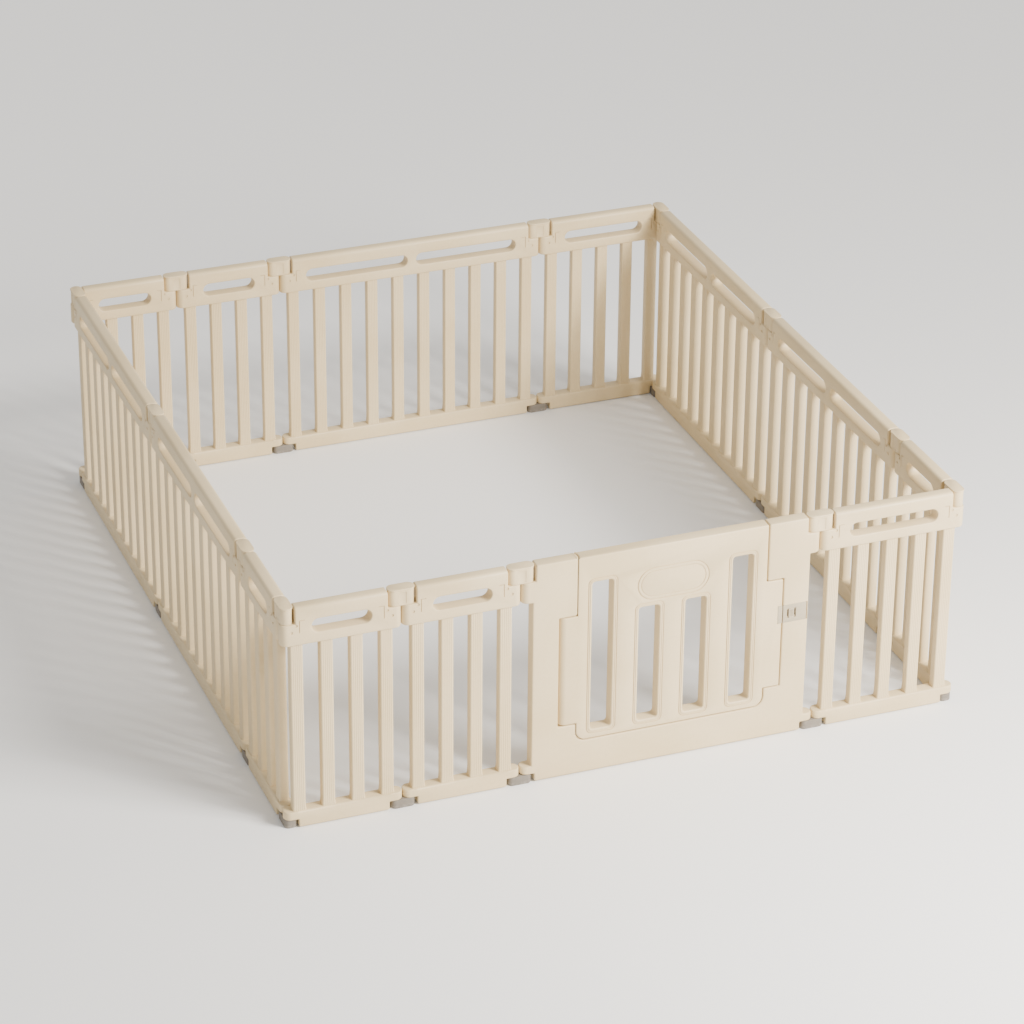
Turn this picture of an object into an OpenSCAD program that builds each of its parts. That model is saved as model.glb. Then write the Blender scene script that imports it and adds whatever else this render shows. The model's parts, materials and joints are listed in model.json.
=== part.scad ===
// Folding playpen: fourteen barred panels joined in a closed ring by pinned links,
// with a hinged door in one wide front panel. Each link turns on two upright pins,
// so neighbouring panels fold flat against each other.
// Units are millimetres, +Z is up, the origin is on the floor in the middle.

/* [Panels] */
// Joint line to joint line of a small panel
small_len = 300; // [260:1:380]
// Joint line to joint line of a medium panel
medium_len = 390; // [330:1:480]
// Joint line to joint line of a large panel
large_len = 780; // [660:1:940]
// Upright bars in a small panel
small_bars = 4; // [3:1:5]
// Upright bars in a medium panel
medium_bars = 5; // [4:1:6]
// Upright bars in a large panel
large_bars = 10; // [8:1:12]
// Height of the fence above the floor
fence_h = 600; // [540:1:720]
// Thickness of the rails and of the gate
rail_t = 35; // [30:0.5:36]

/* [Rails and bars] */
// Height of the top rail
top_rail_h = 100; // [90:1:120]
// Rounding of the rail's upper edges
top_round = 10; // [2:0.5:14]
// Height of the bottom rail
bottom_rail_h = 43; // [38:1:60]
// Gap between the bottom rail and the floor
floor_gap = 3; // [1:0.5:4]
// Rounding of the bottom rail's upper edges
bottom_round = 6; // [1:0.5:9]
// Width of a bar along the fence
bar_w = 32; // [26:0.5:40]
// Thickness of a bar across the fence
bar_t = 24; // [18:0.5:28]
// Rounding of a bar's long edges
bar_round = 4; // [1:0.5:8]
// First bar's centre from the joint line
bar_end = 39; // [36:0.5:48]
// Height of a handle slot
slot_h = 36; // [28:1:44]
// Slot's centre line below the top of the fence
slot_drop = 55; // [50:1:60]
// End of the slot from the joint line
slot_end = 76; // [62:1:100]
// Solid part between the two slots of a wide panel
slot_bar = 26; // [16:1:50]

/* [Links and feet] */
// Distance between the two pins of a link
pin_gap = 36; // [36:0.5:40]
// Radius of a pin
pin_r = 6; // [4:0.1:7]
// Radial running clearance of a pin in its bore
pin_clear = 0.05; // [0.02:0.01:0.1]
// Height of a top link
link_h = 44; // [30:1:50]
// Thickness of the link's top plate
link_lip_t = 4; // [2:0.5:8]
// Step from the top plate in to the link's body
link_lip = 1.5; // [0.5:0.1:3]
// Pin below the top link
link_pin_len = 50; // [30:1:55]
// Height of a foot
foot_h = 24; // [16:1:28]
// Overhang of a foot past its pins
foot_end = 12; // [8:0.5:15]
// Pin above a foot
foot_pin_len = 16; // [8:0.5:18]
// Gap between faces that turn past each other
face_gap = 0.3; // [0.2:0.05:0.8]
// Gap between a link's round end and the panel beside it
notch_gap = 1.5; // [0.8:0.1:4]

/* [Gate] */
// Joint line to joint line of the gate panel
gate_len = 780; // [700:1:940]
// Body of the gate set back from its pins
gate_inset = 10; // [6:0.5:14]
// Width of the door between its two side tabs
door_w = 496; // [440:1:600]
// Width of a side tab
tab_w = 44; // [40:1:60]
// Lower end of the side tabs
tab_low = 144; // [120:1:200]
// Upper end of the side tabs below the top of the fence
tab_drop = 158; // [130:1:200]
// Underside of the door above the floor
door_low = 95; // [80:1:110]
// Rounding of the door's lower corners
door_round = 25; // [8:1:30]
// Seam round the door
seam = 2.5; // [2.5:0.1:5]
// Radius of a door hinge pin
hinge_r = 4; // [3:0.1:6]
// Length of a door hinge pin
hinge_len = 60; // [40:1:80]

/* [Door windows] */
// Width of a window
window_w = 54; // [40:1:64]
// Door's side edge to its first window
window_end = 38; // [30:1:60]
// Lower end of the windows
window_low = 120; // [112:1:140]
// Upper end of the two inner windows below the top of the fence
inner_drop = 165; // [150:1:240]
// Upper end of the two outer windows below the top of the fence
outer_drop = 72; // [40:1:140]
// Rounding of a window's corners
window_round = 8; // [2:0.5:20]

/* [Latch] */
// Height of the latch cover and of the keeper
latch_h = 49; // [40:1:60]
// Centre of the latch below the top of the fence
latch_drop = 255.5; // [220:0.5:290]
// Width of the latch cover
cover_w = 62; // [56:0.5:64]
// Thickness of the cover and of the keeper
cover_t = 3; // [2:0.1:5]
// Width of the keeper on the door
keeper_w = 12; // [10:0.5:20]
// Width of the thumb window in the cover
thumb_window = 24; // [20:0.5:30]
// Height of the thumb window
thumb_h = 26; // [18:0.5:32]
// Width of the thumb button
thumb_w = 14; // [8:0.5:16]
// Height of the bolt
bolt_h = 20; // [12:0.5:24]
// Thickness of the bolt
bolt_t = 8; // [5:0.5:12]
// Length of the bolt
bolt_len = 48; // [44:0.5:52]
// Gap between the door's edge and the drawn-back bolt
bolt_gap = 0.8; // [0.6:0.1:1.5]
// Depth of the bolt's pocket in the door
keeper_pocket = 7; // [6:0.5:12]

/* [Hidden] */
$fn = 64;

cream = "#E6DCCB";
grey = "#A8A29B";
latch_tint = "#D6CFBE";

half_t = rail_t / 2;
half_pin = pin_gap / 2;
knuckle_r = half_t;
link_r = half_t - 1;
notch = link_r + notch_gap;           // pin axis to the flat wall of a notch
link_low = fence_h - link_h;          // top of the upper knuckles
top_low = fence_h - top_rail_h;       // underside of the top rail
bottom_top = floor_gap + bottom_rail_h;
knuckle_low = foot_h + face_gap;      // underside of the lower knuckles
over = 1;                             // cuts run this far past a face

// The ring of pins: the front and back panels turn on the corner pins,
// and the corner links lie in line with the side walls.
ring_w = 2 * small_len + gate_len + medium_len - pin_gap;
ring_d = small_len + 2 * large_len + pin_gap;

// A place on one wall, at a distance along it from the first joint line.
module on_front(s) translate([-ring_w / 2 - half_pin + s, -ring_d / 2, 0]) children();
module on_right(s) translate([ring_w / 2, -ring_d / 2 + half_pin + s, 0]) rotate(90) children();
module on_back(s) translate([ring_w / 2 + half_pin - s, ring_d / 2, 0]) rotate(180) children();
module on_left(s) translate([-ring_w / 2, ring_d / 2 - half_pin - s, 0]) rotate(270) children();

back_rest = ring_w + pin_gap - medium_len - 2 * small_len;   // length left for the back's wide panel

// A rail's cross-section, drawn with its width along X and its height along Y.
module rail_section(low, high, edge) {
    translate([-half_t, low]) square([rail_t, high - low - edge]);
    translate([-half_t + edge, high - edge - over]) square([rail_t - 2 * edge, edge + over]);
    for (side = [-1, 1]) translate([side * (half_t - edge), high - edge]) circle(edge);
}

// A rail that runs along X from one place to another.
module rail(from, to, low, high, edge) {
    translate([from, 0, 0]) rotate([90, 0, 90]) linear_extrude(to - from) rail_section(low, high, edge);
}

// Two round knuckles, one on each end pin, joined to the panel's body.
module knuckles(len, low, high, reach) {
    for (side = [0, 1]) translate([side * len, 0, 0]) mirror([side, 0, 0]) {
        translate([half_pin, 0, low]) cylinder(r = knuckle_r, h = high - low);
        translate([half_pin, -half_t, low]) cube([reach, rail_t, high - low]);
    }
}

// The bores for the link's pins and the foot's pins.
module pin_bores(len) {
    for (x = [half_pin, len - half_pin]) {
        translate([x, 0, link_low - link_pin_len - over])
            cylinder(r = pin_r + pin_clear, h = link_pin_len + 2 * over);
        translate([x, 0, knuckle_low - over])
            cylinder(r = pin_r + pin_clear, h = foot_pin_len + 2 * over);
    }
}

// A slot with round ends, cut right through the rail.
module handle_slot(from, to) {
    slot_r = slot_h / 2;
    translate([0, half_t + over, fence_h - slot_drop]) rotate([90, 0, 0]) linear_extrude(rail_t + 2 * over) {
        translate([from + slot_r, -slot_r]) square([to - from - slot_h, slot_h]);
        for (x = [from + slot_r, to - slot_r]) translate([x, 0]) circle(slot_r);
    }
}

module handle_slots(len, count) {
    run = (len - 2 * slot_end - (count - 1) * slot_bar) / count;
    for (i = [0 : count - 1]) {
        from = slot_end + i * (run + slot_bar);
        handle_slot(from, from + run);
    }
}

module bar() {
    inner_w = bar_w - 2 * bar_round;
    inner_t = bar_t - 2 * bar_round;
    foot_in = bottom_top - 5;
    translate([0, 0, foot_in]) linear_extrude(top_low + 5 - foot_in) {
        square([bar_w, inner_t], center = true);
        square([inner_w, bar_t], center = true);
        for (x = [-1, 1], y = [-1, 1]) translate([x * inner_w / 2, y * inner_t / 2]) circle(bar_round);
    }
}

module panel(len, bars, slots) {
    body = half_pin + notch;
    pitch = (len - 2 * bar_end) / (bars - 1);
    color(cream) difference() {
        union() {
            rail(body, len - body, top_low, fence_h, top_round);
            rail(body, len - body, floor_gap, bottom_top, bottom_round);
            knuckles(len, top_low, link_low, notch + over);
            knuckles(len, knuckle_low, bottom_top - bottom_round, notch + over);
            for (i = [0 : bars - 1]) translate([bar_end + i * pitch, 0, 0]) bar();
        }
        handle_slots(len, slots);
        pin_bores(len);
    }
}

// One link with two pins hanging from it; an open end has no pin.
module top_link(open_left = false) {
    color(cream) {
        translate([0, 0, link_low + face_gap])
            linear_extrude(link_h - face_gap - link_lip_t) pill(link_r - link_lip);
        translate([0, 0, fence_h - link_lip_t]) linear_extrude(link_lip_t) pill(link_r);
        for (side = open_left ? [1] : [-1, 1])
            translate([side * half_pin, 0, link_low - link_pin_len])
                cylinder(r = pin_r, h = link_pin_len + face_gap + over);
    }
}

// A flat shape with a round end about each pin.
module pill(r) {
    square([pin_gap, 2 * r], center = true);
    for (side = [-1, 1]) translate([side * half_pin, 0]) circle(r);
}

// One foot with two pins standing on it; an open end has no pin.
module foot(open_left = false) {
    half_l = half_pin + foot_end;
    color(grey) {
        linear_extrude(foot_h) {
            square([2 * (half_l - foot_end), 2 * link_r], center = true);
            square([2 * half_l, 2 * (link_r - foot_end)], center = true);
            for (x = [-1, 1], y = [-1, 1])
                translate([x * half_pin, y * (link_r - foot_end)]) circle(foot_end);
        }
        for (side = open_left ? [1] : [-1, 1])
            translate([side * half_pin, 0, foot_h - over])
                cylinder(r = pin_r, h = foot_pin_len + over);
    }
}

// Heights that hang from the top of the fence, so that they follow it.
tab_high = fence_h - tab_drop;                // upper end of the side tabs
inner_high = fence_h - inner_drop;            // upper end of the two inner windows
outer_high = fence_h - outer_drop;            // upper end of the two outer windows
latch_z = fence_h - latch_drop;               // centre of the latch
window_pitch = (door_w - 2 * window_end - window_w) / 3;

// The door, seen from outside, is centred in the gate panel.
door_x = (gate_len - door_w) / 2;             // left edge of the door's body
tab_x = door_x - tab_w;                       // left edge of the left tab
tab_end = gate_len - tab_x;                   // right edge of the right tab
hinge_x = tab_x + half_t;                     // the door's upright hinge axis
edge_r = norm([door_x - hinge_x, half_t]);    // round hinge edge of the door's body

// Everything within a radius of the hinge axis, flared at the door's lower corner.
module hinge_core(r, low, flare) {
    translate([hinge_x, 0, 0]) rotate_extrude() {
        translate([0, low]) square([r, fence_h + over - low]);
        difference() {
            translate([0, low]) square([r + flare, flare]);
            translate([r + flare, low + flare]) circle(flare);
        }
    }
}

// The gate panel's slab between two places, with its lower right corner rounded.
module slab(from, to, low, high, corner) {
    translate([0, half_t, 0]) rotate([90, 0, 0]) linear_extrude(rail_t) difference() {
        translate([from, low]) square([to - from, high - low]);
        difference() {
            translate([to - corner, low - over]) square([corner + over, corner + over]);
            translate([to - corner, low + corner]) circle(corner);
        }
    }
}

// The hole in the gate frame that the door's body and its two tabs fill.
module door_hole() {
    wide = rail_t + 2 * over;
    right = door_x + door_w + seam;
    half_cut = half_t + over;
    difference() {
        translate([0, half_cut, 0]) rotate([90, 0, 0]) linear_extrude(wide) difference() {
            translate([hinge_x, door_low - seam]) square([right - hinge_x, fence_h]);
            difference() {
                translate([right - door_round, door_low - seam - over])
                    square([door_round + over, door_round + over]);
                translate([right - door_round, door_low - seam + door_round]) circle(door_round);
            }
        }
        hinge_core(edge_r - face_gap, door_low - seam, door_round);
    }
    translate([tab_x - seam, -half_cut, tab_low - seam])
        cube([tab_w + 2 * seam + half_t, wide, tab_high - tab_low + 2 * seam]);
    translate([right - over, -half_cut, tab_low - seam])
        cube([tab_w + over, wide, tab_high - tab_low + 2 * seam]);
}

// Places of the latch, measured along the gate panel.
cover_x = tab_end + seam;                     // cover's edge at the seam
thumb_x = cover_x + 10.5;                     // left end of the thumb window
thumb_travel = (thumb_window - thumb_w) / 2 - face_gap;
bolt_x = tab_end + bolt_gap;                  // tip of the drawn-back bolt
bolt_y = -half_t + cover_t + face_gap;        // outer face of the bolt

// A plate set into the gate's outer face.
module face_plate(x, w, h, t, back = 0) {
    translate([x, -half_t - back, latch_z - h / 2]) cube([w, t + back, h]);
}

module gate_frame() on_front(2 * small_len) color(cream) difference() {
    union() {
        difference() {
            translate([half_pin + gate_inset, -half_t, floor_gap])
                cube([gate_len - 2 * (half_pin + gate_inset), rail_t, fence_h - floor_gap]);
            for (side = [0, 1]) translate([side * gate_len, 0, 0]) mirror([side, 0, 0]) {
                translate([0, -rail_t, link_low]) cube([half_pin + notch, 2 * rail_t, link_h + over]);
                translate([0, -rail_t, 0]) cube([half_pin + notch, 2 * rail_t, knuckle_low]);
            }
        }
        knuckles(gate_len, top_low, link_low, notch);
        knuckles(gate_len, knuckle_low, bottom_top, notch);
    }
    door_hole();
    pin_bores(gate_len);
    hinge_bores(hinge_r);
    face_plate(cover_x - over, cover_w + over + seam, latch_h, cover_t, over);
    translate([cover_x - over, bolt_y - face_gap, latch_z - bolt_h / 2 - face_gap])
        cube([bolt_len + 2 * thumb_travel, bolt_t + 2 * face_gap, bolt_h + 2 * face_gap]);
}

// Where the two hinge pins stand, half in the frame and half in the door's tab.
module hinge_bores(r) {
    for (z = [tab_high, tab_low]) translate([hinge_x, 0, z - hinge_len / 2]) cylinder(r = r, h = hinge_len);
}

module window(index) {
    outer = index == 0 || index == 3;
    high = outer ? outer_high : inner_high;
    inner_w = window_w - 2 * window_round;
    span = high - window_low;
    x = gate_len / 2 + (index - 1.5) * window_pitch;
    translate([x, half_t + over, (high + window_low) / 2])
    rotate([90, 0, 0]) linear_extrude(rail_t + 2 * over) {
        square([window_w, span - 2 * window_round], center = true);
        square([inner_w, span], center = true);
        for (i = [-1, 1], k = [-1, 1])
            translate([i * inner_w / 2, k * (span / 2 - window_round)]) circle(window_round);
    }
}

module gate_door() on_front(2 * small_len) color(cream) difference() {
    union() {
        difference() {
            slab(hinge_x, door_x + door_w, door_low, fence_h, door_round);
            hinge_core(edge_r, door_low - over, door_round + over);
        }
        translate([hinge_x, 0, tab_low]) cylinder(r = half_t, h = tab_high - tab_low);
        translate([hinge_x, -half_t, tab_low]) cube([tab_w, rail_t, tab_high - tab_low]);
        translate([door_x + door_w - door_round, -half_t, tab_low])
            cube([tab_w + door_round, rail_t, tab_high - tab_low]);
    }
    for (index = [0 : 3]) window(index);
    hinge_bores(hinge_r + pin_clear);
    face_plate(tab_end - keeper_w, keeper_w + over, latch_h, cover_t, over);
    translate([tab_end - keeper_pocket, bolt_y - face_gap, latch_z - bolt_h / 2 - face_gap])
        cube([keeper_pocket + over, bolt_t + 2 * face_gap, bolt_h + 2 * face_gap]);
}

module door_pin(z) on_front(2 * small_len) color("silver")
    translate([hinge_x, 0, z - hinge_len / 2]) cylinder(r = hinge_r, h = hinge_len);

module door_pin_top() door_pin(tab_high);
module door_pin_bottom() door_pin(tab_low);

module latch_cover() on_front(2 * small_len) color(latch_tint) difference() {
    face_plate(cover_x, cover_w, latch_h, cover_t);
    face_plate(thumb_x, thumb_window, thumb_h, cover_t + over, over);
}

// The thumb button stays inside the cover's window; only its neck reaches back to the bolt.
module latch_slider() on_front(2 * small_len) color(latch_tint) {
    button_x = thumb_x + (thumb_window - thumb_w) / 2;
    translate([bolt_x, bolt_y, latch_z - bolt_h / 2]) cube([bolt_len, bolt_t, bolt_h]);
    translate([button_x, -half_t, latch_z - thumb_h / 2 + face_gap])
        cube([thumb_w, cover_t - face_gap, thumb_h - 2 * face_gap]);
    translate([button_x, -half_t + over, latch_z - bolt_h / 2])
        cube([thumb_w, bolt_y + half_t, bolt_h]);
}

module latch_keeper() on_front(2 * small_len) color(latch_tint)
    face_plate(tab_end - keeper_w, keeper_w, latch_h, cover_t);

module front_small_a() on_front(0) panel(small_len, small_bars, 1);
module front_small_b() on_front(small_len) panel(small_len, small_bars, 1);
module front_medium() on_front(2 * small_len + gate_len) panel(medium_len, medium_bars, 1);
module right_small() on_right(0) panel(small_len, small_bars, 1);
module right_large_b() on_right(small_len) panel(large_len, large_bars, 2);
module right_large_a() on_right(small_len + large_len) panel(large_len, large_bars, 2);
module back_medium() on_back(0) panel(medium_len, medium_bars, 1);
module back_large() on_back(medium_len) panel(back_rest, large_bars, 2);
module back_small_b() on_back(medium_len + back_rest) panel(small_len, small_bars, 1);
module back_small_a() on_back(medium_len + back_rest + small_len) panel(small_len, small_bars, 1);
module left_large_a() on_left(0) panel(large_len, large_bars, 2);
module left_large_b() on_left(large_len) panel(large_len, large_bars, 2);
module left_small() on_left(2 * large_len) panel(small_len, small_bars, 1);

module link_corner_fl() on_left(2 * large_len + small_len) top_link();
module link_front_1() on_front(small_len) top_link();
module link_front_2() on_front(2 * small_len) top_link();
module link_front_3() on_front(2 * small_len + gate_len) top_link(open_left = true);
module link_corner_fr() on_right(0) top_link();
module link_right_1() on_right(small_len) top_link();
module link_right_2() on_right(small_len + large_len) top_link();
module link_corner_br() on_right(small_len + 2 * large_len) top_link();
module link_back_1() on_back(medium_len) top_link();
module link_back_2() on_back(medium_len + back_rest) top_link();
module link_back_3() on_back(medium_len + back_rest + small_len) top_link();
module link_corner_bl() on_left(0) top_link();
module link_left_1() on_left(large_len) top_link();
module link_left_2() on_left(2 * large_len) top_link();

module foot_corner_fl() on_left(2 * large_len + small_len) foot();
module foot_front_1() on_front(small_len) foot();
module foot_front_2() on_front(2 * small_len) foot();
module foot_front_3() on_front(2 * small_len + gate_len) foot(open_left = true);
module foot_corner_fr() on_right(0) foot();
module foot_right_1() on_right(small_len) foot();
module foot_right_2() on_right(small_len + large_len) foot();
module foot_corner_br() on_right(small_len + 2 * large_len) foot();
module foot_back_1() on_back(medium_len) foot();
module foot_back_2() on_back(medium_len + back_rest) foot();
module foot_back_3() on_back(medium_len + back_rest + small_len) foot();
module foot_corner_bl() on_left(0) foot();
module foot_left_1() on_left(large_len) foot();
module foot_left_2() on_left(2 * large_len) foot();

front_small_a();
front_small_b();
gate_frame();
front_medium();
right_small();
right_large_b();
right_large_a();
back_medium();
back_large();
back_small_b();
back_small_a();
left_large_a();
left_large_b();
left_small();
gate_door();
door_pin_top();
door_pin_bottom();
latch_cover();
latch_slider();
latch_keeper();
link_corner_fl();
link_front_1();
link_front_2();
link_front_3();
link_corner_fr();
link_right_1();
link_right_2();
link_corner_br();
link_back_1();
link_back_2();
link_back_3();
link_corner_bl();
link_left_1();
link_left_2();
foot_corner_fl();
foot_front_1();
foot_front_2();
foot_front_3();
foot_corner_fr();
foot_right_1();
foot_right_2();
foot_corner_br();
foot_back_1();
foot_back_2();
foot_back_3();
foot_corner_bl();
foot_left_1();
foot_left_2();
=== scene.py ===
# %% [markdown]
# A folding playpen. Barred plastic panels stand in a closed square, and a short link with two
# upright pins joins each panel to the next, so that the fence folds flat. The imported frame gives
# every place and size; this lesson models the mouldings around it and gives them their finishes.

# %% Load the frame
import json
import math

import bpy
from mathutils import Matrix, Vector


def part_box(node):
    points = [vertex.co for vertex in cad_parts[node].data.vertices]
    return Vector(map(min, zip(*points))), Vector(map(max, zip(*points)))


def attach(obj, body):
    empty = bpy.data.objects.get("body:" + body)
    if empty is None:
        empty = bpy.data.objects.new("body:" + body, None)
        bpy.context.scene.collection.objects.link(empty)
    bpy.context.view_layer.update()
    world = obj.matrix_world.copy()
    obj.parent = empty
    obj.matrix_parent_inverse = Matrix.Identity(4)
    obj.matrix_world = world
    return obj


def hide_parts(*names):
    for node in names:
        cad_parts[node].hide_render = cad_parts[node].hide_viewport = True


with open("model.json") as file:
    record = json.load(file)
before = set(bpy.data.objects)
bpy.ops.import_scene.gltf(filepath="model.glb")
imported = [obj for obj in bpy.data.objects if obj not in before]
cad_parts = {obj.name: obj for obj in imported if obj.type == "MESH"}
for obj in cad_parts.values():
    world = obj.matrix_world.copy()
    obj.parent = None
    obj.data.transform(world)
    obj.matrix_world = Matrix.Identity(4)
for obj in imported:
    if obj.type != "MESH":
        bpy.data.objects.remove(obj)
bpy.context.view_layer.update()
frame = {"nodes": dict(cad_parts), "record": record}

# %% [markdown]
# Sizes come first, in metres. The thickness of a rail and the height of the fence are read from
# the frame. The rest repeat the design's own places, such as the gap between two pins, or are
# small sizes that only a moulding has: how far an edge is rounded, how deep a groove is.

# %% Sizes of the fence
medium_low, medium_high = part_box("front_medium")
foot_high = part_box("foot_front_1")[1]

RAIL_T = medium_high[1] - medium_low[1]
HALF_T = RAIL_T / 2
FENCE_H = medium_high[2]
FLOOR_GAP = medium_low[2]
PIN_GAP = 0.036
HALF_PIN = PIN_GAP / 2
END_GAP = HALF_PIN - HALF_T
NOTCH_X = 0.036
TOP_LOW = FENCE_H - 0.100
LINK_LOW = FENCE_H - 0.044
BOTTOM_TOP = FLOOR_GAP + 0.043
KNUCKLE_LOW = 0.0243
BAR_END = 0.039
SLOT_END = 0.076
SLOT_BAR = 0.026
SLOT_H = 0.036
SLOT_Z = FENCE_H - 0.055
PIN_R = 0.006
EDGE = 0.003
print("rail", round(RAIL_T, 4), "height", round(FENCE_H, 3))

# %% [markdown]
# An operator works on everything that is selected, and the frame leaves its own parts selected.
# These helpers therefore deselect first, and then pick faces, edges or points by where they lie,
# as one would by clicking on them.

# %% Selecting
def only(piece):
    bpy.ops.object.select_all(action="DESELECT")
    piece.select_set(True)
    bpy.context.view_layer.objects.active = piece


def pick(piece, kind, test):
    """Enters edit mode with the elements selected for which test says yes."""
    only(piece)
    bpy.ops.object.mode_set(mode="EDIT")
    bpy.ops.mesh.select_mode(type=kind)
    bpy.ops.mesh.select_all(action="DESELECT")
    bpy.ops.object.mode_set(mode="OBJECT")
    mesh = piece.data
    if kind == "FACE":
        for face in mesh.polygons:
            face.select = bool(test(face.center, face.normal))
    elif kind == "EDGE":
        for edge in mesh.edges:
            a, b = (mesh.vertices[i].co for i in edge.vertices)
            edge.select = bool(test((a + b) / 2, b - a))
    else:
        for point in mesh.vertices:
            point.select = bool(test(point.co))
    bpy.ops.object.mode_set(mode="EDIT")


def done():
    bpy.ops.object.mode_set(mode="OBJECT")


def near(a, b, reach=1e-4):
    return abs(a - b) < reach


# %% Blocks and rounded edges
def block(name, low, high):
    """A box between two corners, with its place in its mesh."""
    bpy.ops.object.select_all(action="DESELECT")
    middle = [(a + b) / 2 for a, b in zip(low, high)]
    size = [b - a for a, b in zip(low, high)]
    bpy.ops.mesh.primitive_cube_add(size=1, location=middle, scale=size)
    piece = bpy.context.object
    piece.name = piece.data.name = name
    bpy.ops.object.transform_apply()
    return piece


def rod(name, radius, x, y, low, high, sides=48):
    """An upright cylinder."""
    bpy.ops.object.select_all(action="DESELECT")
    bpy.ops.mesh.primitive_cylinder_add(
        vertices=sides, radius=radius, depth=high - low, location=(x, y, (low + high) / 2))
    piece = bpy.context.object
    piece.name = piece.data.name = name
    bpy.ops.object.transform_apply()
    return piece


def round_edges(piece, radius, steps, test):
    pick(piece, "EDGE", test)
    bpy.ops.mesh.bevel(offset_type="OFFSET", offset=radius, segments=steps, affect="EDGES")
    done()


def split(piece, point, normal):
    """Cuts an edge loop all round a piece, without parting it."""
    pick(piece, "FACE", lambda centre, facing: True)
    bpy.ops.mesh.bisect(plane_co=point, plane_no=normal)
    done()


def pull(piece, move, test):
    """Extrudes the faces that test picks."""
    pick(piece, "FACE", test)
    bpy.ops.mesh.extrude_region_move(TRANSFORM_OT_translate={"value": move})
    done()


def upright(direction):
    return abs(direction.z) > 0.9 * direction.length


def across(direction):
    return abs(direction.y) > 0.9 * direction.length


# %% [markdown]
# A hole is cut by a second solid: the Boolean modifier takes it away, and is applied at once.
# After the cuts, flat faces that were split are joined up again, and a Bevel modifier limited by
# angle rounds every edge that is still sharp, which is how a moulding comes out of its tool.

# %% Cutting, joining and softening
def join(pieces, name):
    bpy.ops.object.select_all(action="DESELECT")
    for piece in pieces:
        piece.select_set(True)
    bpy.context.view_layer.objects.active = pieces[0]
    bpy.ops.object.join()
    pieces[0].name = pieces[0].data.name = name
    return pieces[0]


def combine(piece, tool, operation):
    step = piece.modifiers.new("cut", "BOOLEAN")
    step.operation = operation
    step.object = tool
    step.solver = "EXACT"
    only(piece)
    bpy.ops.object.modifier_apply(modifier=step.name)
    bpy.data.objects.remove(tool)
    return piece


def cut(piece, *tools):
    for tool in tools:
        combine(piece, tool, "DIFFERENCE")
    return piece


def soften(piece, width=EDGE, steps=3, sharp=38, limit=False):
    only(piece)
    bpy.ops.object.mode_set(mode="EDIT")
    bpy.ops.mesh.select_all(action="SELECT")
    bpy.ops.mesh.remove_doubles(threshold=0.00002)
    bpy.ops.mesh.dissolve_limited(angle_limit=math.radians(0.6))
    bpy.ops.object.mode_set(mode="OBJECT")
    step = piece.modifiers.new("round", "BEVEL")
    step.width = width
    step.segments = steps
    step.limit_method = "ANGLE"
    step.use_clamp_overlap = limit
    step.angle_limit = math.radians(sharp)
    bpy.ops.object.modifier_apply(modifier=step.name)
    bpy.ops.object.shade_smooth_by_angle(angle=math.radians(34))
    return piece


# %% [markdown]
# The rails are blow-moulded: the long upper edges are well rounded, and each end carries a
# knuckle, a half-round nose about the pin. One block makes both: its end face is split, the part
# at the knuckle's height is extruded, and the nose's upright edges are bevelled until they meet.

# %% Rails
def rail(name, length, low, high, knuckle, edge, edge_steps):
    piece = block(name, (NOTCH_X, -HALF_T, low), (length - NOTCH_X, HALF_T, high))
    for height in knuckle:
        if low + 0.001 < height < high - 0.001:
            split(piece, (0, 0, height), (0, 0, 1))
    reach = NOTCH_X - END_GAP
    for side in (-1, 1):
        pull(piece, (side * reach, 0, 0), lambda centre, facing: facing.x * side > 0.9
             and knuckle[0] < centre.z < knuckle[1])
    ends = (END_GAP, length - END_GAP)
    round_edges(piece, HALF_T * 0.998, 12, lambda middle, way: upright(way)
                and min(abs(middle.x - end) for end in ends) < 1e-4)
    round_edges(piece, edge, edge_steps, lambda middle, way: abs(way.x) > 0.9 * way.length
                and near(middle.z, high) and near(abs(middle.y), HALF_T)
                and NOTCH_X < middle.x < length - NOTCH_X)
    return piece


def slot_tool(from_x, to_x):
    """A bar with round ends that cuts one handle slot."""
    tool = block("slot", (from_x, -0.03, SLOT_Z - SLOT_H / 2), (to_x, 0.03, SLOT_Z + SLOT_H / 2))
    round_edges(tool, SLOT_H / 2 * 0.998, 12, lambda middle, way: across(way))
    return tool


def bore_tools(length):
    """The bores for the pins of the links and of the feet, at both ends of a panel."""
    tools = []
    for x in (HALF_PIN, length - HALF_PIN):
        tools.append(rod("bore", PIN_R + 0.00005, x, 0, LINK_LOW - 0.051, LINK_LOW + 0.001))
        tools.append(rod("bore", PIN_R + 0.00005, x, 0, KNUCKLE_LOW - 0.001, KNUCKLE_LOW + 0.017))
    return join(tools, "bores")


# %% [markdown]
# Beside each joint the moulding has two small round dimples and a thin angled groove on both
# faces. They are cut by shallow tools that only enter the face by a millimetre.

# %% Dimples and grooves
def mark_tools(length):
    tools = []
    deep = HALF_T - 0.0018
    for side in (0, 1):
        def place(x):
            return length - x if side else x
        for face in (-1, 1):
            for x, z in ((HALF_PIN + 0.008, 0.536), (HALF_PIN + 0.020, 0.5525)):
                dimple = rod("dimple", 0.0038, 0, 0, deep, deep + 0.01, 20)
                dimple.data.transform(Matrix.Rotation(face * math.radians(-90), 4, "X"))
                dimple.data.transform(Matrix.Translation((place(x), 0, z)))
                tools.append(dimple)
            x = place(HALF_PIN + 0.028)
            leg = place(HALF_PIN + 0.040)
            near_y, far_y = sorted((face * deep, face * (deep + 0.01)))
            tools.append(block("groove", (x - 0.001, near_y, 0.532), (x + 0.001, far_y, 0.566)))
            tools.append(block("groove", (min(x, leg) - 0.0007, near_y, 0.5645),
                               (max(x, leg) + 0.0007, far_y, 0.5659)))
    return tools


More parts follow.
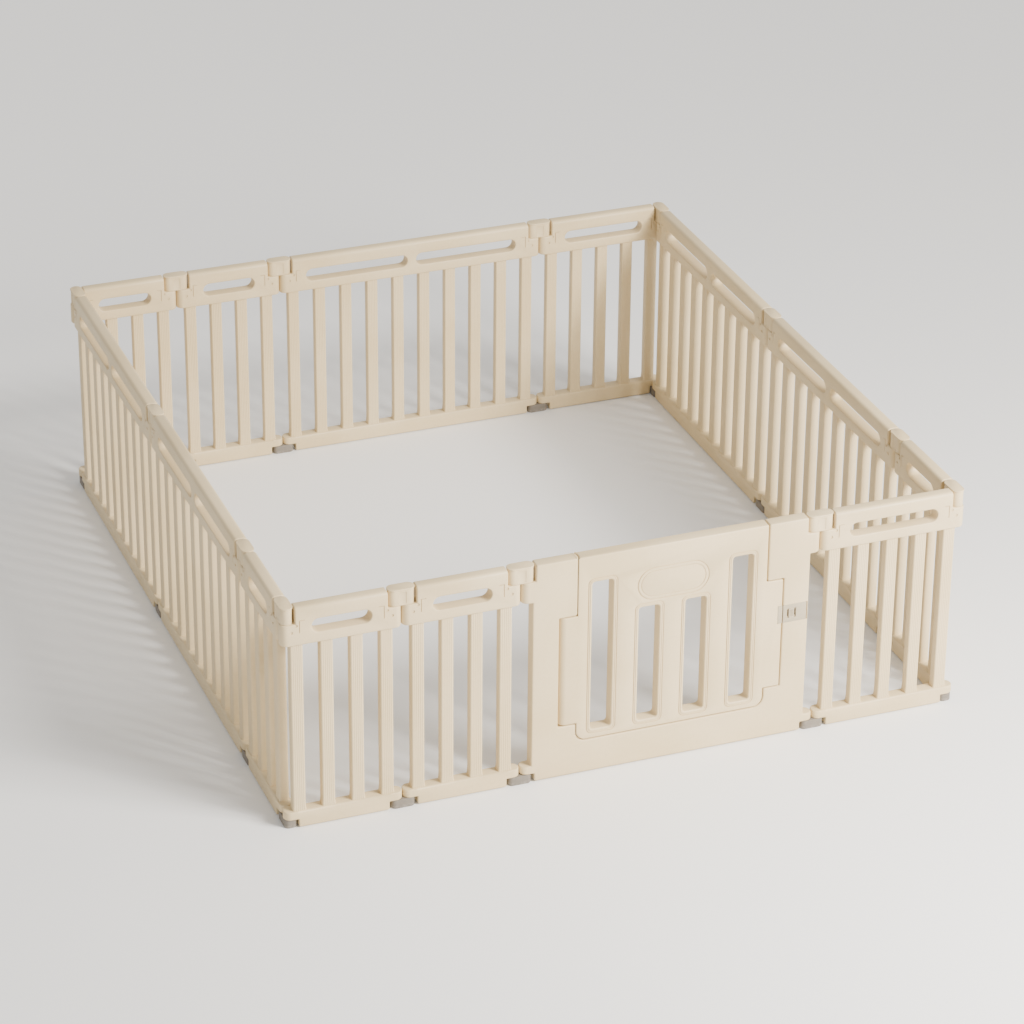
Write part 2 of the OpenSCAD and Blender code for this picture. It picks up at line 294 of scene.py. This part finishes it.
# %% [markdown]
# A bar is a flat post with rounded long edges and five fine flutes on each face. The flutes are
# real: edge loops are cut beside each line, and the middle loop is pushed in. The lower end flares
# a little where the bar grows out of the bottom rail.

# %% Bars
BAR_W = 0.032
BAR_T = 0.024
FLUTES = [step * 0.0048 for step in range(-2, 3)]
FLUTE_W = 0.0009
FLUTE_DEEP = 0.0006


def bar():
    foot_z = BOTTOM_TOP - 0.005
    piece = block("bar", (-BAR_W / 2, -BAR_T / 2, foot_z), (BAR_W / 2, BAR_T / 2, TOP_LOW + 0.005))
    round_edges(piece, 0.004, 3, lambda middle, way: upright(way))
    for x in FLUTES:
        for beside in (-FLUTE_W, 0, FLUTE_W):
            split(piece, (x + beside, 0, 0), (1, 0, 0))
    for face in (-1, 1):
        pick(piece, "VERT", lambda point: near(point.y, face * BAR_T / 2)
             and min(abs(point.x - x) for x in FLUTES) < 1e-5)
        bpy.ops.transform.translate(value=(0, -face * FLUTE_DEEP, 0))
        done()
    for height in (BOTTOM_TOP + 0.018, BOTTOM_TOP + 0.006):
        split(piece, (0, 0, height), (0, 0, 1))
    for height, wider in ((BOTTOM_TOP + 0.006, 1.05), (foot_z, 1.16)):
        pick(piece, "VERT", lambda point: near(point.z, height))
        bpy.ops.transform.resize(value=(wider, wider, 1))
        done()
    only(piece)
    bpy.ops.object.shade_smooth_by_angle(angle=math.radians(34))
    return piece


def copy_piece(source, name, matrix):
    piece = source.copy()
    piece.data = source.data.copy()
    piece.name = piece.data.name = name
    bpy.context.scene.collection.objects.link(piece)
    piece.data.transform(matrix)
    return piece


post = bar()
print("bar faces", len(post.data.polygons))

# %% [markdown]
# A panel is two rails and its bars. The three lengths share one recipe, so each is modelled once
# and copied to its places round the fence.

# %% One panel of each length
def panel(kind, length, bars, slots):
    top = rail("top_rail", length, TOP_LOW, FENCE_H, (TOP_LOW, LINK_LOW), 0.010, 5)
    run = (length - 2 * SLOT_END - (slots - 1) * SLOT_BAR) / slots
    starts = [SLOT_END + i * (run + SLOT_BAR) for i in range(slots)]
    cut(top, *[slot_tool(start, start + run) for start in starts])
    soften(top)
    cut(top, bore_tools(length), *mark_tools(length))
    bottom = rail("bottom_rail", length, FLOOR_GAP, BOTTOM_TOP, (KNUCKLE_LOW, BOTTOM_TOP), 0.006, 4)
    soften(bottom, 0.0025)
    cut(bottom, bore_tools(length))
    pitch = (length - 2 * BAR_END) / (bars - 1)
    places = [Matrix.Translation((BAR_END + i * pitch, 0, 0)) for i in range(bars)]
    posts = [copy_piece(post, "post", place) for place in places]
    whole = join([top, bottom] + posts, kind)
    only(whole)
    bpy.ops.object.shade_smooth_by_angle(angle=math.radians(34))
    print(kind, "faces", len(whole.data.polygons))
    return whole


def wall_length(node):
    low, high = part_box(node)
    return max(high[0] - low[0], high[1] - low[1]) + 2 * END_GAP


kinds = {
    "small": panel("small", wall_length("front_small_a"), 4, 1),
    "medium": panel("medium", wall_length("front_medium"), 5, 1),
    "large": panel("large", wall_length("left_large_a"), 10, 2),
}

# %% Place on a wall
TURNS = {"front": 0, "right": 90, "back": 180, "left": 270}


def wall_place(node):
    """The matrix from a panel's own place, along X, to its place in the fence, to 0.1 mm."""
    low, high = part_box(node)
    middle = [round((a + b) / 2, 4) for a, b in zip(low, high)]
    wall = node.split("_")[0] if node != "gate_frame" else "front"
    start = {
        "front": (low[0] - END_GAP, middle[1]),
        "right": (middle[0], low[1] - END_GAP),
        "back": (high[0] + END_GAP, middle[1]),
        "left": (middle[0], high[1] + END_GAP),
    }[wall]
    turn = Matrix.Rotation(math.radians(TURNS[wall]), 4, "Z")
    return Matrix.Translation((round(start[0], 4), round(start[1], 4), 0)) @ turn


made = {}
for node in frame["nodes"]:
    wall, _, kind = node.partition("_")
    kind = kind.split("_")[0]
    if wall in TURNS and kind in kinds:
        made[node] = copy_piece(kinds[kind], node + "_moulding", wall_place(node))
print("barred panels", len(made))

# %% [markdown]
# A link is a short block with round ends that sits flush in the notches of two rails. Its top
# plate laps over the body by a millimetre or two, and each face has a shallow recess.

# %% Links
def link(open_left):
    half = HALF_PIN + HALF_T - 0.001
    side = HALF_T - 0.001
    lip = 0.0015
    body = block("link", (-half + lip, -side + lip, LINK_LOW + 0.0003),
                 (half - lip, side - lip, FENCE_H - 0.003))
    round_edges(body, (side - lip) * 0.998, 12, lambda middle, way: upright(way))
    for face in (-1, 1):
        near_y, far_y = sorted((face * (side - lip - 0.001), face * (side + 0.01)))
        cut(body, block("recess", (-0.010, near_y, LINK_LOW + 0.004), (0.010, far_y, FENCE_H - 0.009)))
    soften(body, 0.0008, 2)
    plate = block("plate", (-half, -side, FENCE_H - 0.004), (half, side, FENCE_H))
    round_edges(plate, side * 0.998, 12, lambda middle, way: upright(way))
    soften(plate, 0.0012, 3)
    pins = [rod("pin", PIN_R, x, 0, LINK_LOW - 0.050, LINK_LOW + 0.001)
            for x in ((HALF_PIN,) if open_left else (-HALF_PIN, HALF_PIN))]
    for pin in pins:
        soften(pin, 0.001, 2)
    whole = join([body, plate] + pins, "link")
    only(whole)
    bpy.ops.object.shade_smooth_by_angle(angle=math.radians(34))
    return whole


# %% [markdown]
# A foot is a grey block under each joint, with pins that stand up into the lower knuckles. A
# groove runs round it, and its sole has a softer edge.

# %% Feet
def foot(open_left):
    top = foot_high[2] - 0.016
    half = HALF_PIN + 0.012
    side = HALF_T - 0.001
    body = block("foot", (-half, -side, 0), (half, side, top))
    round_edges(body, 0.0119, 8, lambda middle, way: upright(way))
    for height in (0.0075, 0.0085, 0.0095):
        split(body, (0, 0, height), (0, 0, 1))
    pick(body, "VERT", lambda point: near(point.z, 0.0085))
    bpy.ops.transform.resize(value=(0.97, 0.94, 1))
    done()
    soften(body, 0.0015, 2, 50)
    pins = [rod("pin", PIN_R, x, 0, top - 0.001, top + 0.016)
            for x in ((HALF_PIN,) if open_left else (-HALF_PIN, HALF_PIN))]
    whole = join([body] + pins, "foot")
    only(whole)
    bpy.ops.object.shade_smooth_by_angle(angle=math.radians(34))
    return whole


def joint_place(node):
    low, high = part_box(node)
    x, y = round((low[0] + high[0]) / 2, 4), round((low[1] + high[1]) / 2, 4)
    turn = 0 if "_front_" in node or "_back_" in node else 90
    return Matrix.Translation((x, y, 0)) @ Matrix.Rotation(math.radians(turn), 4, "Z")


templates = {("link", False): link(False), ("link", True): link(True),
             ("foot", False): foot(False), ("foot", True): foot(True)}
for node in frame["nodes"]:
    kind = node.split("_")[0]
    if kind in ("link", "foot"):
        source = templates[(kind, node.endswith("front_3"))]
        made[node] = copy_piece(source, node + "_moulding", joint_place(node))
print("links and feet", sum(name.split("_")[0] in ("link", "foot") for name in made))

# %% [markdown]
# The gate panel is a U-shaped frame with a door in it. The door swings on two steel pins in its
# left tab. The door's left edge above and below the tab is turned about that hinge line, and so
# is the edge of the frame's opening beside it: a solid of revolution cuts each of the two.

# %% Sizes of the gate
gate_low, gate_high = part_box("gate_frame")
door_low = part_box("gate_door")[0]
pin_low, pin_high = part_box("door_pin_top")
GATE_X = gate_low[0] - END_GAP
GATE_LEN = gate_high[0] - gate_low[0] + 2 * END_GAP
HINGE_X = (pin_low[0] + pin_high[0]) / 2 - GATE_X
TAB_X = door_low[0] - GATE_X
TAB_W = 0.044
DOOR_X = TAB_X + TAB_W
DOOR_END = GATE_LEN - DOOR_X
TAB_END = GATE_LEN - TAB_X
DOOR_LOW = door_low[2]
TAB_LOW = 0.144
TAB_HIGH = 0.442
DOOR_ROUND = 0.025
SEAM = 0.0025
EDGE_R = math.hypot(DOOR_X - HINGE_X, HALF_T)
print("hinge line", round(HINGE_X, 4), "door from", round(DOOR_X, 3), "to", round(DOOR_END, 3))


# %% The solid turned about the hinge line
def hinge_core(radius, low, flare):
    wide = 0.02
    piece = rod("core", radius + flare + wide, HINGE_X, 0, low - 0.05, low, 96)
    pick(piece, "FACE", lambda centre, facing: facing.z > 0.9)
    bpy.ops.mesh.inset(thickness=flare + wide)
    bpy.ops.mesh.extrude_region_move(TRANSFORM_OT_translate={"value": (0, 0, FENCE_H + 0.02 - low)})
    done()

    def on_ring(middle, way):
        return near(middle.z, low) and near(math.hypot(middle.x - HINGE_X, middle.y), radius, 0.001)

    round_edges(piece, flare, 8, on_ring)
    return piece


def door_body(grow, half_depth, high):
    """The door's outline without its left tab; grow widens it into the frame's opening."""
    piece = block("door", (HINGE_X, -half_depth, DOOR_LOW - grow), (DOOR_END + grow, half_depth, high))
    for height in (TAB_LOW - grow, TAB_HIGH + grow):
        split(piece, (0, 0, height), (0, 0, 1))
    pull(piece, (TAB_W, 0, 0), lambda centre, facing: facing.x > 0.9
         and TAB_LOW - grow < centre.z < TAB_HIGH + grow)
    round_edges(piece, DOOR_ROUND + grow, 8, lambda middle, way: across(way)
                and near(middle.z, DOOR_LOW - grow) and near(middle.x, DOOR_END + grow))
    return piece


# %% Latch places
cover_low, cover_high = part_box("latch_cover")
slider_low, slider_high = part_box("latch_slider")
COVER_X = cover_low[0] - GATE_X
COVER_END = cover_high[0] - GATE_X
COVER_T = cover_high[1] - cover_low[1]
BOLT_X = slider_low[0] - GATE_X
BOLT_END = slider_high[0] - GATE_X
BOLT_OUT = -HALF_T + COVER_T
BOLT_IN = -HALF_T + (slider_high[1] - slider_low[1]) + 0.0003
LATCH_Z = (cover_low[2] + cover_high[2]) / 2
BOLT_HALF = 0.0103
PLATE_HALF = 0.0245
PLATE_PROUD = 0.0006
KEEPER_W = 0.012
BUTTON_X = COVER_X + 0.0225
RIB_HALF = 0.0006


# %% Gate frame
def gate_frame():
    piece = block("gate", (NOTCH_X, -HALF_T, FLOOR_GAP), (GATE_LEN - NOTCH_X, HALF_T, FENCE_H))
    for height in (KNUCKLE_LOW, BOTTOM_TOP, TOP_LOW, LINK_LOW):
        split(piece, (0, 0, height), (0, 0, 1))
    inset = NOTCH_X - HALF_PIN - 0.010
    for side in (-1, 1):
        pull(piece, (side * inset, 0, 0), lambda centre, facing: facing.x * side > 0.9
             and KNUCKLE_LOW < centre.z < LINK_LOW)
        pull(piece, (side * (HALF_PIN + 0.010 - END_GAP), 0, 0),
             lambda centre, facing: facing.x * side > 0.9
             and (KNUCKLE_LOW < centre.z < BOTTOM_TOP or TOP_LOW < centre.z < LINK_LOW))
    ends = (END_GAP, GATE_LEN - END_GAP)
    round_edges(piece, HALF_T * 0.998, 12, lambda middle, way: upright(way)
                and min(abs(middle.x - end) for end in ends) < 1e-4)
    opening = cut(door_body(SEAM, 0.03, FENCE_H + 0.01),
                  hinge_core(EDGE_R - 0.0013, DOOR_LOW - SEAM, DOOR_ROUND))
    cut(piece, opening)
    cut(piece, block("pocket", (TAB_X - SEAM, -0.03, TAB_LOW - SEAM),
                     (HINGE_X + 0.04, 0.03, TAB_HIGH + SEAM)))
    soften(piece, 0.0040, 4)
    cut(piece, bore_tools(GATE_LEN))
    cut(piece, block("recess", (COVER_X - 0.001, -0.03, LATCH_Z - 0.0247),
                     (COVER_END + 0.003, -HALF_T + COVER_T, LATCH_Z + 0.0247)))
    cut(piece, block("cavity", (COVER_X - 0.001, BOLT_OUT, LATCH_Z - BOLT_HALF),
                     (BOLT_END + 0.006, BOLT_IN, LATCH_Z + BOLT_HALF)))
    cut(piece, rod("pin_bore", 0.00402, HINGE_X, 0, TAB_LOW - 0.030, TAB_HIGH + 0.030))
    only(piece)
    bpy.ops.object.shade_smooth_by_angle(angle=math.radians(34))
    return piece


made["gate_frame"] = gate_frame()
print("gate frame faces", len(made["gate_frame"].data.polygons))


# %% [markdown]
# The door's windows are cut with rounded tools. Around each one run two fine lines, and above
# the short windows lies an oval of two more. They are sunk, because a folded neighbour passes
# one millimetre from this face. The tool for a line is a flat plate whose corners are rounded,
# inset to a thin ring, and given thickness.

# %% Door
WINDOW_W = 0.054
WINDOW_PITCH = 0.122
WINDOW_LOW = 0.120
WINDOW_TOPS = (0.528, 0.435, 0.435, 0.528)
OVAL_Z = 0.496


def window_centre(index):
    return GATE_LEN / 2 + (index - 1.5) * WINDOW_PITCH


def gate_door():
    piece = cut(door_body(0, HALF_T, FENCE_H), hinge_core(EDGE_R, DOOR_LOW - 0.001, DOOR_ROUND + 0.001))
    tab = block("tab", (TAB_X, -HALF_T, TAB_LOW), (DOOR_X + 0.02, HALF_T, TAB_HIGH))
    round_edges(tab, HALF_T * 0.998, 12, lambda middle, way: upright(way) and near(middle.x, TAB_X))
    combine(piece, tab, "UNION")
    for index, high in enumerate(WINDOW_TOPS):
        x = window_centre(index)
        tool = block("window", (x - WINDOW_W / 2, -0.03, WINDOW_LOW), (x + WINDOW_W / 2, 0.03, high))
        round_edges(tool, 0.008, 6, lambda middle, way: across(way))
        cut(piece, tool)
    soften(piece, 0.0040, 4)
    cut(piece, block("recess", (TAB_END - 0.0121, -0.03, LATCH_Z - 0.0246),
                     (TAB_END + 0.001, -HALF_T + COVER_T, LATCH_Z + 0.0246)))
    cut(piece, block("pocket", (TAB_END - 0.007, BOLT_OUT, LATCH_Z - BOLT_HALF),
                     (TAB_END + 0.001, BOLT_IN, LATCH_Z + BOLT_HALF)))
    cut(piece, rod("pin_bore", 0.00405, HINGE_X, 0, TAB_LOW - 0.01, TAB_HIGH + 0.01))
    return piece


def line_tool(x, z, width, height, corner, line, deep, face):
    """A thin ring with rounded corners that cuts one line into the door's outer or inner face."""
    bpy.ops.object.select_all(action="DESELECT")
    bpy.ops.mesh.primitive_plane_add(size=1, location=(x, face * (HALF_T + 0.001), z),
                                     rotation=(math.radians(-90 * face), 0, 0))
    piece = bpy.context.object
    piece.name = piece.data.name = "line"
    piece.scale = (width, height, 1)
    bpy.ops.object.transform_apply()
    bpy.ops.object.mode_set(mode="EDIT")
    bpy.ops.mesh.select_mode(type="VERT")
    bpy.ops.mesh.select_all(action="SELECT")
    bpy.ops.mesh.bevel(offset_type="OFFSET", offset=corner, segments=10, affect="VERTICES")
    bpy.ops.mesh.select_all(action="SELECT")
    bpy.ops.mesh.inset(thickness=line)
    bpy.ops.mesh.delete(type="FACE")
    bpy.ops.object.mode_set(mode="OBJECT")
    step = piece.modifiers.new("wall", "SOLIDIFY")
    step.thickness = deep + 0.001
    step.offset = -1
    bpy.ops.object.modifier_apply(modifier=step.name)
    return piece


door = gate_door()
lines = []
for face in (-1, 1):
    for index, high in enumerate(WINDOW_TOPS):
        x, z = window_centre(index), (WINDOW_LOW + high) / 2
        tall = high - WINDOW_LOW
        lines.append(line_tool(x, z, WINDOW_W + 0.023, tall + 0.023, 0.016, 0.0022, 0.0016, face))
        lines.append(line_tool(x, z, WINDOW_W + 0.014, tall + 0.014, 0.0125, 0.0016, 0.0010, face))
    lines.append(line_tool(GATE_LEN / 2, OVAL_Z, 0.188, 0.089, 0.0444, 0.0024, 0.0018, face))
    lines.append(line_tool(GATE_LEN / 2, OVAL_Z, 0.170, 0.071, 0.0354, 0.0018, 0.0012, face))
print("lines", len(lines))
made["gate_door"] = soften(cut(door, *lines), 0.0005, 2, 38, True)
print("door faces", len(made["gate_door"].data.polygons))

# %% [markdown]
# The latch is a plate let into the frame beside the seam. A thumb button in the plate's window
# slides a bolt across the seam into the keeper on the door's edge.

# %% Latch
def latch_cover():
    piece = block("cover", (COVER_X, -HALF_T - PLATE_PROUD, LATCH_Z - PLATE_HALF),
                  (COVER_END, -HALF_T + COVER_T, LATCH_Z + PLATE_HALF))
    round_edges(piece, 0.004, 4, lambda middle, way: across(way) and near(middle.x, COVER_END))
    cut(piece, block("window", (COVER_X + 0.0105, -0.03, LATCH_Z - 0.013),
                     (COVER_X + 0.0345, 0, LATCH_Z + 0.013)))
    return soften(piece, 0.0007, 2)


def latch_slider():
    bolt = block("bolt", (BOLT_X, BOLT_OUT + 0.0003, LATCH_Z - 0.010),
                 (BOLT_END, BOLT_IN - 0.0003, LATCH_Z + 0.010))
    for side in (-1, 1):
        x = BUTTON_X + side * 0.0096
        cut(bolt, block("slot", (x - 0.0022, -0.03, LATCH_Z - 0.0085),
                        (x + 0.0022, BOLT_OUT + 0.006, LATCH_Z + 0.0085)))
    soften(bolt, 0.0004, 2)
    button = block("button", (BUTTON_X - 0.007, -HALF_T - 0.0004, LATCH_Z - 0.0127),
                   (BUTTON_X + 0.007, BOLT_OUT - 0.0003, LATCH_Z + 0.0127))
    neck = block("neck", (BUTTON_X - 0.006, BOLT_OUT - 0.0013, LATCH_Z - 0.009),
                 (BUTTON_X + 0.006, BOLT_OUT + 0.0013, LATCH_Z + 0.009))
    for x in (-0.0032, 0, 0.0032):
        cut(button, block("rib", (BUTTON_X + x - RIB_HALF, -0.03, LATCH_Z - 0.009),
                          (BUTTON_X + x + RIB_HALF, -HALF_T + 0.0006, LATCH_Z + 0.009)))
    soften(button, 0.0005, 2)
    whole = join([bolt, neck, button], "slider")
    only(whole)
    bpy.ops.object.shade_smooth_by_angle(angle=math.radians(34))
    return whole


def latch_keeper():
    piece = block("keeper", (TAB_END - KEEPER_W, -HALF_T - PLATE_PROUD, LATCH_Z - PLATE_HALF),
                  (TAB_END, -HALF_T + COVER_T, LATCH_Z + PLATE_HALF))
    round_edges(piece, 0.004, 4, lambda middle, way: across(way) and near(middle.x, TAB_END - KEEPER_W))
    return soften(piece, 0.0007, 2)


made["latch_cover"] = latch_cover()
made["latch_slider"] = latch_slider()
made["latch_keeper"] = latch_keeper()
gate_place = wall_place("gate_frame")
for node in ("gate_frame", "gate_door", "latch_cover", "latch_slider", "latch_keeper"):
    made[node].data.transform(gate_place)
    made[node].name = made[node].data.name = node + "_moulding"
for source in list(kinds.values()) + list(templates.values()) + [post]:
    bpy.data.objects.remove(source)
print("pieces", len(made))

# %% [markdown]
# Shader maths reads best as Python. Signal wraps one socket, so that adding or multiplying two
# signals adds the Math node that does it, and Finish holds a material and makes any other node.

# %% Shader helpers
class Signal:
    """One output of a node, with arithmetic."""

    def __init__(self, finish, socket):
        self.finish = finish
        self.socket = socket

    def math(self, operation, first, second):
        made_node = self.finish.node("ShaderNodeMath", {"operation": operation}, {0: first, 1: second})
        return Signal(self.finish, made_node.outputs[0])

    def __add__(self, other):
        return self.math("ADD", self, other)

    __radd__ = __add__

    def __mul__(self, other):
        return self.math("MULTIPLY", self, other)

    __rmul__ = __mul__

    def __sub__(self, other):
        return self.math("SUBTRACT", self, other)

    def __rsub__(self, other):
        return self.math("SUBTRACT", other, self)


class Finish:
    """A material, its Principled shader and the nodes that feed it."""

    def __init__(self, name):
        self.material = bpy.data.materials.new(name)
        self.material.use_nodes = True
        self.tree = self.material.node_tree
        self.shader = self.tree.nodes["Principled BSDF"]
        self.place = self.node("ShaderNodeTexCoord", {}, {}).outputs["Object"]

    def node(self, kind, settings, sockets):
        made_node = self.tree.nodes.new(kind)
        for name, value in settings.items():
            setattr(made_node, name, value)
        for name, value in sockets.items():
            self.feed(made_node.inputs[name], value)
        return made_node

    def feed(self, socket, value):
        if isinstance(value, Signal):
            value = value.socket
        if isinstance(value, bpy.types.NodeSocket):
            self.tree.links.new(value, socket)
        else:
            socket.default_value = value

    def noise(self, scale, detail=2.0, roughness=0.5, stretch=None):
        where = self.place
        if stretch:
            where = self.node("ShaderNodeMapping", {}, {"Vector": self.place, "Scale": stretch}).outputs[0]
        made_node = self.node("ShaderNodeTexNoise", {}, {
            "Vector": where, "Scale": scale, "Detail": detail, "Roughness": roughness})
        return Signal(self, made_node.outputs[0])

    def smooth(self, value, low, high):
        made_node = self.node("ShaderNodeMapRange", {"interpolation_type": "SMOOTHSTEP"}, {
            "Value": value, "From Min": low, "From Max": high})
        return Signal(self, made_node.outputs[0])

    def tint(self, factor, first, second):
        made_node = self.node("ShaderNodeMix", {"data_type": "RGBA"}, {0: factor, 6: first, 7: second})
        return made_node.outputs[2]

    def bump(self, layers):
        """Stacks bumps: each layer is a height signal and its depth in metres."""
        normal = None
        for height, depth in layers:
            sockets = {"Height": height, "Distance": depth, "Strength": 1.0}
            if normal:
                sockets["Normal"] = normal
            normal = self.node("ShaderNodeBump", {}, sockets).outputs[0]
        self.feed(self.shader.inputs["Normal"], normal)

    def height_above_floor(self):
        made_node = self.node("ShaderNodeSeparateXYZ", {}, {0: self.place})
        return Signal(self, made_node.outputs[2])


# %% [markdown]
# Blow-moulded polyethylene is satin and a little uneven: the wall cools in slow waves, the tool
# leaves a fine orange peel, and hands and floors polish or scuff it. Three scales of noise give
# those, and they drive colour, roughness and bump by different amounts.

# %% Cream plastic
def cream_plastic():
    finish = Finish("cream_moulded_plastic")
    waves = finish.noise(5.0, 2.0)
    mottle = finish.noise(90.0, 3.0, 0.6)
    peel = finish.noise(620.0, 2.0, 0.5)
    low_down = 1 - finish.smooth(finish.height_above_floor(), 0.0, 0.11)
    scuff = finish.smooth(finish.noise(55.0, 5.0, 0.7), 0.56, 0.74) * low_down
    shade = finish.smooth(waves * 0.75 + mottle * 0.25, 0.34, 0.66)
    plain = finish.tint(shade, (0.655, 0.515, 0.295, 1), (0.70, 0.560, 0.338, 1))
    worn = finish.tint(scuff * 0.35, plain, (0.50, 0.40, 0.27, 1))
    finish.feed(finish.shader.inputs["Base Color"], worn)
    finish.feed(finish.shader.inputs["Roughness"], 0.40 + mottle * 0.08 + waves * 0.05 + scuff * 0.18)
    finish.shader.inputs["Specular IOR Level"].default_value = 0.42
    finish.shader.inputs["Coat Weight"].default_value = 0.0
    finish.bump([(waves, 0.0010), (peel, 0.00005)])
    return finish.material


# %% Grey plastic
def grey_plastic():
    finish = Finish("grey_foot_plastic")
    mottle = finish.noise(120.0, 3.0, 0.6)
    grain = finish.noise(1500.0, 2.0, 0.6)
    dust = (1 - finish.smooth(finish.height_above_floor(), 0.0, 0.012)) * finish.smooth(mottle, 0.4, 0.7)
    plain = finish.tint(mottle, (0.165, 0.142, 0.115, 1), (0.21, 0.183, 0.150, 1))
    dusty = finish.tint(dust * 0.4, plain, (0.45, 0.41, 0.36, 1))
    finish.feed(finish.shader.inputs["Base Color"], dusty)
    finish.feed(finish.shader.inputs["Roughness"], 0.50 + grain * 0.12 + dust * 0.15)
    finish.bump([(mottle, 0.0003), (grain, 0.00008)])
    return finish.material


# %% Latch plastic
def latch_plastic():
    finish = Finish("latch_moulded_plastic")
    mottle = finish.noise(160.0, 3.0, 0.6)
    grain = finish.noise(1300.0, 2.0, 0.5)
    rub = finish.smooth(finish.noise(70.0, 4.0, 0.7), 0.5, 0.75)
    plain = finish.tint(mottle, (0.40, 0.335, 0.225, 1), (0.46, 0.385, 0.265, 1))
    finish.feed(finish.shader.inputs["Base Color"], finish.tint(rub * 0.3, plain, (0.52, 0.44, 0.31, 1)))
    finish.feed(finish.shader.inputs["Roughness"], 0.46 - rub * 0.12 + grain * 0.08)
    finish.bump([(mottle, 0.0002), (grain, 0.00005)])
    return finish.material


# %% Hinge steel
def hinge_steel():
    finish = Finish("drawn_steel_pin")
    streaks = finish.noise(60.0, 3.0, 0.6, (14.0, 14.0, 1.0))
    spots = finish.smooth(finish.noise(240.0, 4.0, 0.7), 0.58, 0.75)
    finish.feed(finish.shader.inputs["Base Color"], finish.tint(
        streaks * 0.6 + spots * 0.3, (0.50, 0.50, 0.51, 1), (0.66, 0.66, 0.67, 1)))
    finish.feed(finish.shader.inputs["Roughness"], 0.24 + streaks * 0.16 + spots * 0.1)
    finish.shader.inputs["Metallic"].default_value = 1.0
    finish.bump([(streaks, 0.00005)])
    return finish.material


finishes = {"cream_plastic": cream_plastic(), "grey_plastic": grey_plastic(),
            "latch_plastic": latch_plastic(), "hinge_steel": hinge_steel()}
print("finishes", list(finishes))

# %% [markdown]
# Each new piece now rides on the body that its frame part belongs to, stands in for that part,
# and takes the finish of the part's own slot. The two hinge pins keep the frame's shape.

# %% Riding, replacing and painting
bodies = frame["record"]["behaviour"]["bodies"]
body_of = {node: body for body, nodes in bodies.items() for node in nodes}
slot_of = {row["node"]: row["material_slot"] for row in frame["record"]["subparts"]}


def paint(piece, material):
    piece.data.materials.clear()
    piece.data.materials.append(material)


for node, piece in made.items():
    paint(piece, finishes[slot_of[node]])
    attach(piece, body_of[node])
    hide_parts(node)
for node in frame["nodes"]:
    if node not in made:
        for place in frame["nodes"][node].material_slots:
            place.material = finishes[slot_of[node]]
print("riding", len(made), "kept from the frame", [node for node in frame["nodes"] if node not in made])

# %% [markdown]
# The studio: a pale floor, a bright sky all round, a broad key light from the right in front,
# and a camera far off with a long lens, which keeps the fence's upright lines nearly parallel.

# %% Floor
bpy.ops.object.select_all(action="DESELECT")
bpy.ops.mesh.primitive_plane_add(size=60, location=(0, 0, 0))
floor = bpy.context.object
floor.name = "studio_floor"
floor_finish = Finish("pale_floor")
floor_finish.feed(floor_finish.shader.inputs["Base Color"], floor_finish.tint(
    floor_finish.noise(0.8), (0.90, 0.895, 0.885, 1), (0.92, 0.915, 0.905, 1)))
floor_finish.shader.inputs["Roughness"].default_value = 0.9
paint(floor, floor_finish.material)

# %% Light
sky = bpy.data.worlds.new("studio_sky")
sky.use_nodes = True
sky.node_tree.nodes["Background"].inputs["Color"].default_value = (1.0, 0.985, 0.96, 1)
sky.node_tree.nodes["Background"].inputs["Strength"].default_value = 0.78
bpy.context.scene.world = sky


def lamp(name, kind, place, target, energy, size, colour):
    data = bpy.data.lights.new(name, kind)
    data.energy = energy
    data.color = colour
    if kind == "AREA":
        data.size = size
    else:
        data.angle = size
    piece = bpy.data.objects.new(name, data)
    bpy.context.scene.collection.objects.link(piece)
    piece.location = place
    aim = Vector(target) - Vector(place)
    piece.rotation_euler = aim.to_track_quat("-Z", "Y").to_euler()
    return piece


lamp("key", "SUN", (3.6, -4.6, 4.6), (0, 0, 0.2), 2.4, math.radians(14), (1.0, 0.965, 0.91))
lamp("soft_box", "AREA", (1.9, -3.2, 2.2), (0.4, -0.9, 0.25), 300, 1.2, (1.0, 0.965, 0.915))

# %% Camera
corner_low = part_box("front_small_a")[0]
FENCE_CORNER = Vector((corner_low[0] + HALF_T, corner_low[1] + HALF_T, 0))
camera_data = bpy.data.cameras.new("camera")
camera = bpy.data.objects.new("camera", camera_data)
bpy.context.scene.collection.objects.link(camera)
camera.location = FENCE_CORNER + Vector((-2.186, -7.152, 4.794))
camera.rotation_euler = (math.radians(90 - 26.41), math.radians(-0.055), math.radians(-20.06))
camera_data.sensor_width = 36.0
camera_data.lens = 129.85
camera_data.shift_x = 0.0511
camera_data.shift_y = -0.0909
camera_data.clip_end = 100
bpy.context.scene.camera = camera
